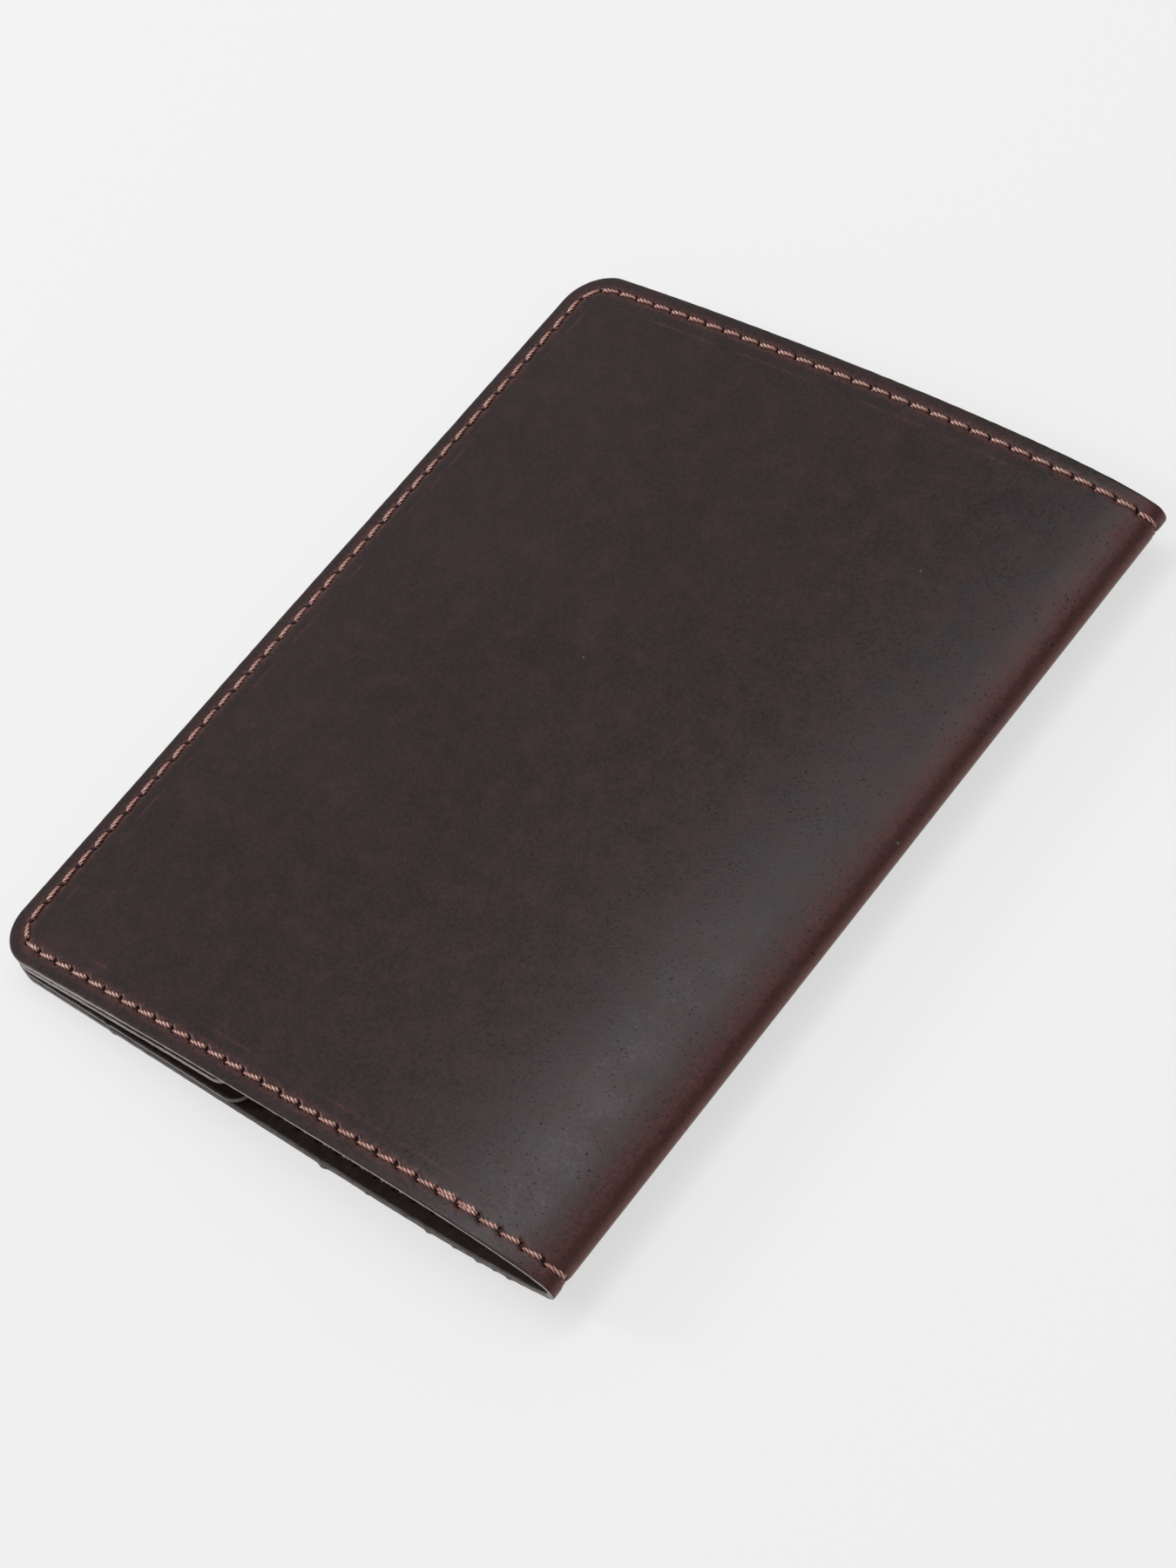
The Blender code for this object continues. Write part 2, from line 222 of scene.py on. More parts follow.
def middle_line():
    """Points of the cover's middle line in the XZ plane, and the index of the fold's tip."""
    centre = Vector((-WIDTH / 2 + FOLD_OUTER_RADIUS, FOLD_HEIGHT))
    turn = math.pi / 2 - FLARE
    fold = []
    for step in range(-FOLD_STEPS, FOLD_STEPS + 1):
        angle = turn * step / FOLD_STEPS
        fold.append(centre + FOLD_RADIUS * Vector((-math.cos(angle), math.sin(angle))))
    leave = Vector((math.cos(FLARE), math.sin(FLARE)))
    flat_end = Vector((WIDTH / 2 - CURL_START, HALF))
    curl = interpolate_bezier(
        flat_end,
        flat_end - Vector((CURL_FLAT_REACH, 0)),
        fold[0] + CURL_FOLD_REACH * Vector((leave.x, -leave.y)),
        fold[0],
        CURL_STEPS,
    )
    fore = Vector((WIDTH / 2 - HALF * math.sin(FORE_SLOPE), STACK - HALF))
    bow = interpolate_bezier(
        fold[-1],
        fold[-1] + BOW_FOLD_REACH * leave,
        fore - BOW_FORE_REACH * Vector((math.cos(FORE_SLOPE), -math.sin(FORE_SLOPE))),
        fore,
        BOW_STEPS,
    )
    line = [Vector((WIDTH / 2, HALF)), *curl, *fold[1:], *bow[1:]]
    return line, len(curl) + FOLD_STEPS


LINE, TIP = middle_line()
LINE_U = [0.0]
for before, after in zip(LINE, LINE[1:]):
    LINE_U.append(LINE_U[-1] + (after - before).length)
TIP_U = LINE_U[TIP]
END_U = LINE_U[-1]
LINE_OUT = []
for index in range(len(LINE)):
    along = LINE[min(index + 1, len(LINE) - 1)] - LINE[max(index - 1, 0)]
    LINE_OUT.append(Vector((-along.y, along.x)).normalized())


def from_fore_edge(u):
    """Distance along the leather to the nearer fore-edge."""
    return min(u, END_U - u)


def bent(u, v, w):
    """The place in the closed holder of a point of the flat layout."""
    if w < -HALF - LAYER_GAP / 2:
        w -= POCKET_SLACK * min(max(from_fore_edge(u), 0) / SLACK_RUN, 1)
    index = min(max(bisect.bisect_right(LINE_U, u) - 1, 0), len(LINE) - 2)
    share = (u - LINE_U[index]) / (LINE_U[index + 1] - LINE_U[index])
    out = LINE_OUT[index].lerp(LINE_OUT[index + 1], share).normalized()
    place = LINE[index].lerp(LINE[index + 1], share) + w * out
    return Vector((place.x, v, place.y))


def seam_place(distance, reach):
    """(distance from the fore-edge, v, outward direction) at this distance along a half's seam.

    The seam of a half starts over the fold's tip at the head, and ends over it at the tail.
    """
    straight = reach - SEAM_INSET - SEAM_CORNER
    arc = SEAM_CORNER * math.pi / 2
    middle = straight + arc + SEAM_V - SEAM_CORNER
    if distance > middle:
        edge, v, (out_u, out_v) = seam_place(2 * middle - distance, reach)
        return edge, -v, (out_u, -out_v)
    if distance <= straight:
        return reach - distance, SEAM_V, (0.0, 1.0)
    if distance < straight + arc:
        angle = (distance - straight) / SEAM_CORNER
        edge = SEAM_INSET + SEAM_CORNER * (1 - math.sin(angle))
        v = SEAM_V - SEAM_CORNER * (1 - math.cos(angle))
        return edge, v, (math.sin(angle), math.cos(angle))
    return SEAM_INSET, SEAM_V - SEAM_CORNER - (distance - straight - arc), (1.0, 0.0)


def seam_length(reach):
    return 2 * (reach - SEAM_INSET) + 2 * SEAM_V - 2 * SEAM_CORNER * (2 - math.pi / 2)


def needle_places(reach):
    """Distances of the needle slits along a half's seam, both ends included."""
    open_length = reach - POCKET_DEPTH
    open_count = round(open_length / STITCH_PITCH - MOUTH_IN_STITCH)
    open_pitch = open_length / (open_count + MOUTH_IN_STITCH)
    sewn_length = seam_length(reach) - 2 * open_length
    sewn_count = round(sewn_length / STITCH_PITCH)
    sewn_pitch = sewn_length / sewn_count
    opening = [open_pitch * count for count in range(open_count + 1)]
    first = open_length + sewn_pitch * MOUTH_IN_STITCH
    sewn = [first + sewn_pitch * count for count in range(sewn_count)]
    closing = [seam_length(reach) - distance for distance in reversed(opening)]
    return opening + sewn + closing


def seam_flat(half, distance):
    """((u, v), outward (u, v)) in the flat, at a distance along the seam of the front or back."""
    reach = REACH[half]
    edge, v, (out_u, out_v) = seam_place(distance, reach)
    if half == "front":
        return Vector((END_U - edge, v)), Vector((out_u, out_v))
    return Vector((edge, v)), Vector((-out_u, out_v))


REACH = {"front": END_U - TIP_U, "back": TIP_U}
NEEDLES = {half: needle_places(reach) for half, reach in REACH.items()}

# The needle's slits lie at a slant to the seam, so each stitch crosses it from side to side. The
# thread is pulled into a groove, shallow on the front and deep wherever the seam must lie flat.
SLIT_HALF = 0.00045
SLIT_SLANT = math.radians(36)
SLIT_DEPTH = 0.00055
SLIT_BLUR = 0.00022
SLIT_REACH = 3 * SLIT_HALF
SHALLOW_GROOVE = 0.00007
DEEP_GROOVE = 0.00027
GROOVE_HALF = 0.00055


def slit_direction(out):
    """Along a slit, in the flat: seen on the grain, ahead clockwise and in across the seam."""
    ahead = Vector((out.y, -out.x))
    return math.cos(SLIT_SLANT) * ahead - math.sin(SLIT_SLANT) * out


def slits(half):
    """(centre, direction) of each slit along a half's seam."""
    found = []
    for distance in NEEDLES[half]:
        centre, out = seam_flat(half, distance)
        found.append((centre, slit_direction(out)))
    return found


class Pits:
    """How deep the needle and the thread press the leather at a place of the flat."""

    def __init__(self, marks):
        self.marks = marks
        self.tree = kdtree.KDTree(len(marks))
        for index, (centre, _) in enumerate(marks):
            self.tree.insert((centre.x, centre.y, 0), index)
        self.tree.balance()

    def near(self, u, v):
        """0 to 1, how near the place is to a slit."""
        _, index, distance = self.tree.find((u, v, 0))
        if index is None or distance > SLIT_REACH:
            return 0.0
        centre, along = self.marks[index]
        offset = Vector((u, v)) - centre
        reach = min(max(offset.dot(along), -SLIT_HALF), SLIT_HALF)
        return math.exp(-(((offset - reach * along).length / SLIT_BLUR) ** 2))


def edge_distance(u, v, low, high, low_corner, high_corner):
    """(distance in from a sheet's outline, direction in) at a place of the flat."""
    dv = HEIGHT / 2 - abs(v)
    inward_v = Vector((0, -math.copysign(1, v)))
    for du, corner, inward_u in (
        (u - low, low_corner, Vector((1, 0))),
        (high - u, high_corner, Vector((-1, 0))),
    ):
        if du < corner and dv < corner:
            offset = (corner - du) * inward_u + (corner - dv) * inward_v
            return corner - offset.length, offset.normalized()
    if dv <= min(u - low, high - u):
        return dv, inward_v
    if u - low < high - u:
        return u - low, Vector((1, 0))
    return high - u, Vector((-1, 0))


STEPS_PER_STITCH = 10
RING_INSETS = (0.00018, 0.0006, 0.0011, 0.0016, 0.00204, 0.00232, 0.0026, 0.00288)
INNER_INSETS = (0.00316, 0.0036, 0.0042, 0.0050)
SAME_PLACE = 1e-6
BODY_STEP = 0.0035


def outline_steps(half, low, high):
    """Points of the outline beside the seam, a fixed number to each stitch."""
    marks = [low, *[d for d in NEEDLES[half] if low < d < high], high]
    points = []
    for start, end in zip(marks, marks[1:]):
        count = max(round(STEPS_PER_STITCH * (end - start) / STITCH_PITCH), 1)
        for step in range(count):
            centre, out = seam_flat(half, start + (end - start) * step / count)
            points.append(centre + out * SEAM_INSET)
    return points


def cut_lines(bm, faces, places, axis):
    """Scores faces along lines of the flat, across u or across v, and returns all of them."""
    direction = (1, 0, 0) if axis == 0 else (0, 1, 0)
    for place in places:
        edges = dict.fromkeys(edge for face in faces for edge in face.edges)
        verts = dict.fromkeys(vert for face in faces for vert in face.verts)
        cut = bmesh.ops.bisect_plane(
            bm,
            geom=[*faces, *edges, *verts],
            plane_co=[place * part for part in direction],
            plane_no=direction,
            dist=SAME_PLACE,
        )
        faces = [item for item in cut["geom"] if isinstance(item, bmesh.types.BMFace)]
    return faces


def leather_blank(outline, high_w, thickness, insets, lines):
    """A flat sheet with rings that follow its outline, an even grid inside them, and lines across
    it at some u and some v."""
    bm = bmesh.new()
    bmesh.ops.create_circle(bm, cap_ends=True, radius=1, segments=len(outline))
    bm.verts.ensure_lookup_table()
    for vert, place in zip(bm.verts[:], outline):
        vert.co = (place.x, place.y, high_w)
    bm.normal_update()
    body = bm.faces[:]
    done = 0.0
    for inset in insets:
        bmesh.ops.inset_region(
            bm,
            faces=body,
            thickness=inset - done,
            use_even_offset=True,
            use_boundary=True,
        )
        done = inset
    us = [vert.co.x for vert in body[0].verts]
    vs = [vert.co.y for vert in body[0].verts]
    for axis, spread in enumerate((us, vs)):
        low, high = min(spread), max(spread)
        count = round((high - low) / BODY_STEP)
        places = [low + (high - low) * step / count for step in range(1, count)]
        body = cut_lines(bm, body, places, axis)
    for axis in (0, 1):
        cut_lines(bm, bm.faces[:], lines[axis], axis)
    bmesh.ops.recalc_face_normals(bm, faces=bm.faces)
    if bm.faces[0].normal.z < 0:
        bmesh.ops.reverse_faces(bm, faces=bm.faces)
    lowered = bmesh.ops.extrude_face_region(bm, geom=bm.faces[:])["geom"]
    lowered = [item for item in lowered if isinstance(item, bmesh.types.BMVert)]
    bmesh.ops.translate(bm, vec=(0, 0, -thickness), verts=lowered)
    walls = []
    for edge in bm.edges:
        high, low = edge.verts
        if abs(high.co.z - low.co.z) > thickness / 2:
            walls.append(edge)
    bmesh.ops.subdivide_edges(bm, edges=walls, cuts=WALL_CUTS, use_grid_fill=True)
    bmesh.ops.recalc_face_normals(bm, faces=bm.faces)
    return bm


COVER_LIMITS = (0, END_U, COVER_CORNER, COVER_CORNER)

# The rim's two corners: (how far each stands in from the outline, how far it drops from its face)
GRAIN_CORNER = (0.00005, 0.00005)
FLESH_CORNER = (0.00007, 0.00004)
# The rim is cut a little rough, and worn under on its flesh side where no flap backs it.
ROUGH_CUT = 0.00004
ROUGH_SIZE = 0.0012
ROUGH_ACROSS = 3
FIRST_RING = RING_INSETS[0]
WALL_CUTS = 5
WORN_BELOW = 0.55
WORN_REACH = 0.001
# Past this share of the thickness from the middle, a point is on a face and not on the rim's wall.
FACE_LEVEL = 0.49
# Torn tufts on the back's cut edge at the head: (distance from the fore-edge, half width, reach)
TUFTS = (
    (0.0226, 0.00045, 0.00016),
    (0.0625, 0.00075, 0.00032),
    (0.0705, 0.00040, 0.00012),
    (0.0815, 0.00050, 0.00022),
    (0.0862, 0.00035, 0.00014),
    (0.0905, 0.00050, 0.00020),
    (0.0935, 0.00030, 0.00012),
    (0.0962, 0.00045, 0.00016),
)
TUFT_SPREAD = 2
TUFT_AT_FLESH = 0.25


def tufts(u, v, side):
    """How far a torn tuft stands out of the cut edge here."""
    if v < 0 or u > TIP_U:
        return 0.0
    reach = 0.0
    for place, half_width, height in TUFTS:
        away = abs(u - place) / half_width
        if away < TUFT_SPREAD:
            across = TUFT_AT_FLESH + (1 - TUFT_AT_FLESH) * side
            reach += height * math.exp(-(away**2)) * across
    return reach


def shape_sheet(bm, limits, high_w, thickness, pits, grain_up, undercut, wave):
    """Rounds and roughens the rim, presses the needle slits and gives the leather its slight waves.

    It keeps, for the leather's finish, the place in the flat, (distance in from the rim, 1 on
    the grain side and 0 on the flesh side, how near a slit is), and the distance to the seam.
    """
    flat = bm.verts.layers.float_vector.new("flat")
    make = bm.verts.layers.float_vector.new("make")
    seam = bm.verts.layers.float.new("seam")
    middle = high_w - thickness / 2
    for vert in bm.verts:
        u, v, w = vert.co
        inset, inward = edge_distance(u, v, *limits)
        cover_inset, _ = edge_distance(u, v, *COVER_LIMITS)
        level = (w - middle) / thickness
        side = 0.5 + level if grain_up else 0.5 - level
        on_face = abs(level) > FACE_LEVEL
        grain_face = on_face and side > 0.5
        shift = 0.0
        press = 0.0
        if inset < FIRST_RING / 2:
            rough = noise.noise(Vector((u, v, w * ROUGH_ACROSS)) / ROUGH_SIZE) * ROUGH_CUT
            corner = GRAIN_CORNER if grain_face else FLESH_CORNER
            if on_face:
                shift = corner[0]
                w -= math.copysign(corner[1], level)
            shift += rough + undercut(u) * max(1 - side / WORN_BELOW, 0) - tufts(u, v, side)
        elif not grain_face:
            shift = undercut(u) * max(1 - inset / WORN_REACH, 0)
        if inset > FIRST_RING / 2:
            slit_marks, groove = pits["grain" if grain_face else "flesh"]
            press = slit_marks.near(u, v)
            sink = groove(u) * math.exp(-(((cover_inset - SEAM_INSET) / GROOVE_HALF) ** 2))
            w -= math.copysign(SLIT_DEPTH * press + sink, level)
        vert[flat] = (u, v, w)
        vert[make] = (inset, side, press)
        vert[seam] = cover_inset - SEAM_INSET
        place = Vector((u, v)) + inward * shift
        vert.co = bent(place.x, place.y, w + wave(u, v))


SHARP_ANGLE = math.radians(40)


def finished(bm, name, material, sharp=SHARP_ANGLE):
    """The piece that a shaped mesh makes, in its material."""
    mesh = bpy.data.meshes.new(name)
    bm.to_mesh(mesh)
    bm.free()
    mesh.materials.append(material)
    mesh.shade_smooth()
    mesh.set_sharp_from_angle(angle=sharp)
    piece = bpy.data.objects.new(name, mesh)
    bpy.context.scene.collection.objects.link(piece)
    return piece


# The cover's slight waves, longer from head to tail than across, and at their full this far
# from the fold
WAVE_HEIGHT = 0.00012
WAVE_LENGTH = 0.035
WAVE_SQUEEZE = 0.6
WAVE_PLACE = 0.3
WAVE_RISE = 0.02
# Wear of the rim's lower corner, less at the fold than this far from its tip
UNDERCUT = 0.00030
WORN_START = 0.018
WORN_FULL = 0.045
FOLD_WORN = 0.35
FOLD_WORN_FROM = 0.002
FOLD_WORN_TO = 0.012
# How far from the fold's tip the leather is scored across, where it bends most
FOLD_SCORES = (0.00002, 0.0001, 0.0002, 0.00032, 0.00046, 0.00062, 0.0008, 0.001, 0.00122)
FOLD_SCORES += (0.00148, 0.00178, 0.0021, 0.0025, 0.003, 0.0036, 0.0043, 0.0052, 0.0063, 0.0078)


def cover_wave(u, v):
    """Slight waves of the cover, none where the back lies on the table or at the fold."""
    if u < TIP_U:
        return 0.0
    strength = min((u - TIP_U) / WAVE_RISE, 1) * WAVE_HEIGHT
    return noise.noise(Vector((u, v * WAVE_SQUEEZE, WAVE_PLACE)) / WAVE_LENGTH) * strength


def smooth(value, low, high):
    """0 up to low and 1 from high, with an even rise between."""
    share = min(max((value - low) / (high - low), 0), 1)
    return share * share * (3 - 2 * share)


def cover_undercut(u):
    """The rim's lower corner is worn away between the flaps' mouths, and square at the flaps."""
    worn = smooth(from_fore_edge(u), WORN_START, WORN_FULL)
    off_fold = smooth(abs(u - TIP_U), FOLD_WORN_FROM, FOLD_WORN_TO)
    return UNDERCUT * worn * (FOLD_WORN + (1 - FOLD_WORN) * off_fold)


def cover_groove(u):
    return SHALLOW_GROOVE if u > TIP_U else DEEP_GROOVE


def shallow_groove(u):
    return SHALLOW_GROOVE


def deep_groove(u):
    return DEEP_GROOVE


class Finish:
    """A material in the making. Each method adds a node, and gives what comes out of it."""

    def __init__(self, name):
        self.material = bpy.data.materials.new(name)
        self.material.use_nodes = True
        self.tree = self.material.node_tree
        self.surface = self.tree.nodes["Principled BSDF"]

    def fill(self, target, value):
        """Sets a socket to a number or to a colour, or links it to another node."""
        if isinstance(value, (int, float)):
            target.default_value = value
        elif isinstance(value, tuple):
            target.default_value = (*value, 1)
        else:
            link(self.tree, value, target)

    def attribute(self, name, kind="Vector"):
        """What the mesh keeps under this name, as a vector or a number."""
        return node(self.tree, "ShaderNodeAttribute", attribute_name=name).outputs[kind]

    def parts(self, vector):
        made = node(self.tree, "ShaderNodeSeparateXYZ")
        link(self.tree, vector, made.inputs[0])
        return made.outputs

    def maths(self, operation, first, *others):
        """The values taken together one after the other."""
        result = first
        for other in others:
            made = node(self.tree, "ShaderNodeMath", operation=operation)
            self.fill(made.inputs[0], result)
            self.fill(made.inputs[1], other)
            result = made.outputs[0]
        return result

    def plus(self, *values):
        return self.maths("ADD", *values)

    def minus(self, *values):
        return self.maths("SUBTRACT", *values)

    def times(self, *values):
        return self.maths("MULTIPLY", *values)

    def most(self, *values):
        return self.maths("MAXIMUM", *values)

    def away(self, value):
        """How far a value is from 0, to either side."""
        made = node(self.tree, "ShaderNodeMath", operation="ABSOLUTE")
        link(self.tree, value, made.inputs[0])
        return made.outputs[0]

    def ramp(self, value, span, result=(0.0, 1.0), easing="SMOOTHSTEP"):
        """A value carried from one span to another, and held at both ends."""
        made = node(self.tree, "ShaderNodeMapRange", clamp=True, interpolation_type=easing)
        link(self.tree, value, made.inputs["Value"])
        for name, number in zip(("From Min", "From Max", "To Min", "To Max"), (*span, *result)):
            made.inputs[name].default_value = number
        return made.outputs["Result"]

    def mapped(self, where, size, stretch, shift):
        made = node(self.tree, "ShaderNodeMapping")
        made.inputs["Scale"].default_value = [part / size for part in stretch]
        made.inputs["Location"].default_value = shift
        link(self.tree, where, made.inputs["Vector"])
        return made.outputs[0]

    def cloud(self, where, size, detail, rough, stretch=(1, 1, 1), shift=(0, 0, 0)):
        """Noise with features of about this size, in metres."""
        made = node(self.tree, "ShaderNodeTexNoise")
        made.inputs["Scale"].default_value = 1
        made.inputs["Detail"].default_value = detail
        made.inputs["Roughness"].default_value = rough
        link(self.tree, self.mapped(where, size, stretch, shift), made.inputs["Vector"])
        return made.outputs["Fac"]

    def dots(self, where, spacing, stretch):
        """Distance to the nearest of scattered points, in shares of their spacing."""
        made = node(self.tree, "ShaderNodeTexVoronoi", feature="F1")
        made.inputs["Scale"].default_value = 1
        link(self.tree, self.mapped(where, spacing, stretch, (0, 0, 0)), made.inputs["Vector"])
        return made.outputs["Distance"]

    def mixed(self, share, first, second):
        """Two colours mixed by a share."""
        made = node(self.tree, "ShaderNodeMix", data_type="RGBA")
        for index, value in ((0, share), (6, first), (7, second)):
            self.fill(made.inputs[index], value)
        return made.outputs[2]

    def between(self, share, first, second):
        """Two numbers mixed by a share."""
        made = node(self.tree, "ShaderNodeMix", data_type="FLOAT")
        for index, value in ((0, share), (2, first), (3, second)):
            self.fill(made.inputs[index], value)
        return made.outputs[0]

    def bump(self, height, distance, strength, below=None):
        made = node(self.tree, "ShaderNodeBump")
        made.inputs["Distance"].default_value = distance
        made.inputs["Strength"].default_value = strength
        link(self.tree, height, made.inputs["Height"])
        if below is not None:
            link(self.tree, below, made.inputs["Normal"])
        return made.outputs[0]


GLOSS_TINT = (1.0, 0.91, 0.95, 1)
CREASE_INSET = 0.0028
DARK_BROWN = (0.0105, 0.0060, 0.0060)
MID_BROWN = (0.0265, 0.0142, 0.0140)
RED_BROWN = (0.0430, 0.0158, 0.0150)
RUBBED_RED = (0.0850, 0.0310, 0.0240)
# Painted highlight: the pale colour of the fold's tip, where it catches the light
PAINTED_TIP_HIGHLIGHT = (0.1500, 0.0640, 0.0480)
# Painted shade: a dark line along the fold, this far past its tip, where the bent leather reflects
# no lamp
FOLD_SHADE_LINE = 0.00150
TIP_HIGHLIGHT_INSET = 0.0004
# Cool grey of the wax bloom, which also paints the cool tint of the sheen beside the fold
WAX_GREY_AND_SHEEN = (0.0120, 0.0125, 0.0135)
FOLD_BROWN = (0.0640, 0.0205, 0.0150)
# The colour of the painted shade along the fold
FOLD_SHADE = (0.0180, 0.0065, 0.0050)
PORE = (0.0030, 0.0022, 0.0022)
LINT = (0.2000, 0.1500, 0.1300)
FLESH_DARK = (0.0150, 0.0095, 0.0080)
FLESH_LIGHT = (0.0420, 0.0270, 0.0210)
# Painted shade: the near-black core of the back's cut edge
CUT_SHADED_BLACK = (0.0240, 0.0205, 0.0195)
CUT_DARK = (0.1000, 0.0820, 0.0740)
CUT_LIGHT = (0.4200, 0.3800, 0.3600)
# The dye in the grain side, which on the back's edge, at the table, is also painted contact shade
DYE_AND_CONTACT_SHADE = (0.0120, 0.0085, 0.0080)
# Painted shade in the needle slits
HOLE_SHADE = (0.0030, 0.0020, 0.0020)
FLESH_ROUGH = 0.85
CUT_ROUGH = 0.38
# How much of the colour under it a scratch, a pore or a speck of lint hides
SCRATCH_COVER = 0.35
PORE_COVER = 0.7
LINT_COVER = 0.55
PORE_DULLS = 0.7
# Heights in the relief beside the fine grain's own
SPECKLE_HEIGHT = 0.6
PORE_HEIGHT = 0.6
SCRATCH_HEIGHT = 0.5
NAP_HEIGHT = 2.5
# How deep the finest grain is, and how high the slow unevenness of the hide: (height, strength)
GRAIN_DEPTH = (0.000025, 0.6)
HIDE_SWELL = (0.00006, 0.4)


def clouded_brown(look, where, fine, speckle, warm):
    """Dark brown in broad clouds and small patches, and red-brown where the wax is thin."""
    broad = look.cloud(where, 0.028, 3, 0.55)
    patches = look.cloud(where, 0.0065, 4, 0.6, shift=(3, 1, 0))
    tone = look.plus(
        look.ramp(broad, (0.3, 0.7), (0.15, 0.45)),
        look.ramp(patches, (0.3, 0.7), (0.05, 0.25)),
        look.ramp(fine, (0.25, 0.75), (-0.09, 0.09)),
        look.ramp(speckle, (0.25, 0.75), (-0.17, 0.17)),
    )
    grain = look.mixed(tone, DARK_BROWN, MID_BROWN)
    return look.mixed(look.ramp(warm, (0.45, 0.72), (0, 0.42)), grain, RED_BROWN)


def marked_by_seam(look, grain, where, fine):
    """The needle rubs the leather red beside the seam, and the cover creases just inside it."""
    from_seam = look.attribute("seam", "Fac")
    rubbed = look.times(
        look.ramp(look.away(from_seam), (0.0004, 0.0016), (1, 0)),
        look.ramp(fine, (0.3, 0.7), (0.1, 0.7)),
    )
    grain = look.mixed(rubbed, grain, RUBBED_RED)
    breaks = look.cloud(where, 0.009, 3, 0.6, shift=(7, 7, 7))
    creased = look.times(
        look.ramp(look.away(look.minus(from_seam, CREASE_INSET)), (0.0, 0.00040), (0.50, 0)),
        look.ramp(breaks, (0.44, 0.62)),
        look.ramp(fine, (0.3, 0.6), (0.4, 1)),
    )
    return look.mixed(creased, grain, RUBBED_RED)


def marked_by_fold(look, grain, where, fine, speckle, past_tip):
    """Wax blooms cool grey beside the fold, and the grey also paints the cool tint of the sheen
    there.
    It has moved out of the fold, which is red-brown, with painted shade in a line along it, where
    the bent leather reflects no lamp, and a painted highlight at the tip, where it catches the
    light."""
    from_tip = look.away(past_tip)
    # Cool grey wax bloom in patches, which also paints the cool tint of the sheen near the fold.
    bloom = look.cloud(where, 0.0038, 5, 0.72, shift=(8, 5, 2))
    bloom_and_sheen = look.times(
        look.ramp(bloom, (0.46, 0.60)),
        look.ramp(from_tip, (0.008, 0.032), (0.6, 0)),
    )
    grain = look.mixed(bloom_and_sheen, grain, WAX_GREY_AND_SHEEN)

    mottled = look.cloud(where, 0.0016, 4, 0.7, shift=(5, 5, 0))
    folded = look.times(
        look.ramp(from_tip, (0.0018, 0.0078), (1, 0)),
        look.ramp(mottled, (0.3, 0.7), (0.60, 1)),
        look.ramp(speckle, (0.3, 0.7), (0.65, 1)),
        look.ramp(fine, (0.35, 0.6), (0.75, 1.2)),
    )
    grain = look.mixed(folded, grain, FOLD_BROWN)

    # Painted shade: a dark, wandering line along the fold, where the bent leather reflects no lamp.
    wander = look.cloud(where, 0.0022, 3, 0.6, shift=(2, 6, 1))
    wander = look.ramp(wander, (0.3, 0.7), (-0.00040, 0.00040), "LINEAR")
    from_shade_line = look.away(look.plus(look.minus(past_tip, FOLD_SHADE_LINE), wander))
    line = look.times(
        look.ramp(from_shade_line, (0.0001, 0.00060), (0.65, 0)),
        look.ramp(mottled, (0.38, 0.6), (0.2, 1)),
        look.ramp(fine, (0.35, 0.6), (0.35, 1)),
    )
    grain = look.mixed(line, grain, FOLD_SHADE)
    # Painted highlight: the fold's tip is made pale where it catches the light.
    from_highlight = look.away(look.plus(past_tip, TIP_HIGHLIGHT_INSET))
    return look.mixed(look.ramp(from_highlight, (0.0007, 0.0016), (0.7, 0)), grain, PAINTED_TIP_HIGHLIGHT)


def scratches(look, where):
    """A few hair-thin scratches, lengthwise and across."""
    along = look.cloud(where, 0.0011, 2, 0.5, stretch=(1.0, 0.06, 1), shift=(2, 8, 0))
    across = look.cloud(where, 0.0013, 2, 0.5, stretch=(0.07, 1.0, 1), shift=(6, 3, 0))
    rare = look.cloud(where, 0.012, 2, 0.5, shift=(1, 9, 4))
    scored = look.most(look.ramp(along, (0.74, 0.80)), look.ramp(across, (0.74, 0.80)))
    return look.times(scored, look.ramp(rare, (0.52, 0.62)))


def open_pores(look, where, past_tip):
    """Pores, open and dark where the hide is stretched beside the fold, and faint elsewhere."""
    patches = look.cloud(where, 0.007, 2, 0.5, shift=(4, 4, 4))
    small = look.ramp(look.dots(where, 0.00072, (0.8, 1, 1)), (0.11, 0.20), (0.8, 0))
    wide = look.ramp(look.dots(where, 0.0021, (0.8, 1, 1)), (0.050, 0.088), (1, 0))
    zone = look.ramp(look.away(past_tip), (0.012, 0.045), (1, 0.10))
    return look.times(look.most(small, wide), zone, look.ramp(patches, (0.35, 0.58), (0.15, 1)))


def suede(look, where, nap):
    """The flesh side: a short nap, dark, and paler in patches."""
    patches = look.cloud(where, 0.006, 3, 0.6, shift=(8, 1, 0))
    tone = look.times(
        look.ramp(nap, (0.3, 0.75)),
        look.ramp(patches, (0.3, 0.75), (0.3, 1)),
    )
    return look.mixed(tone, FLESH_DARK, FLESH_LIGHT)


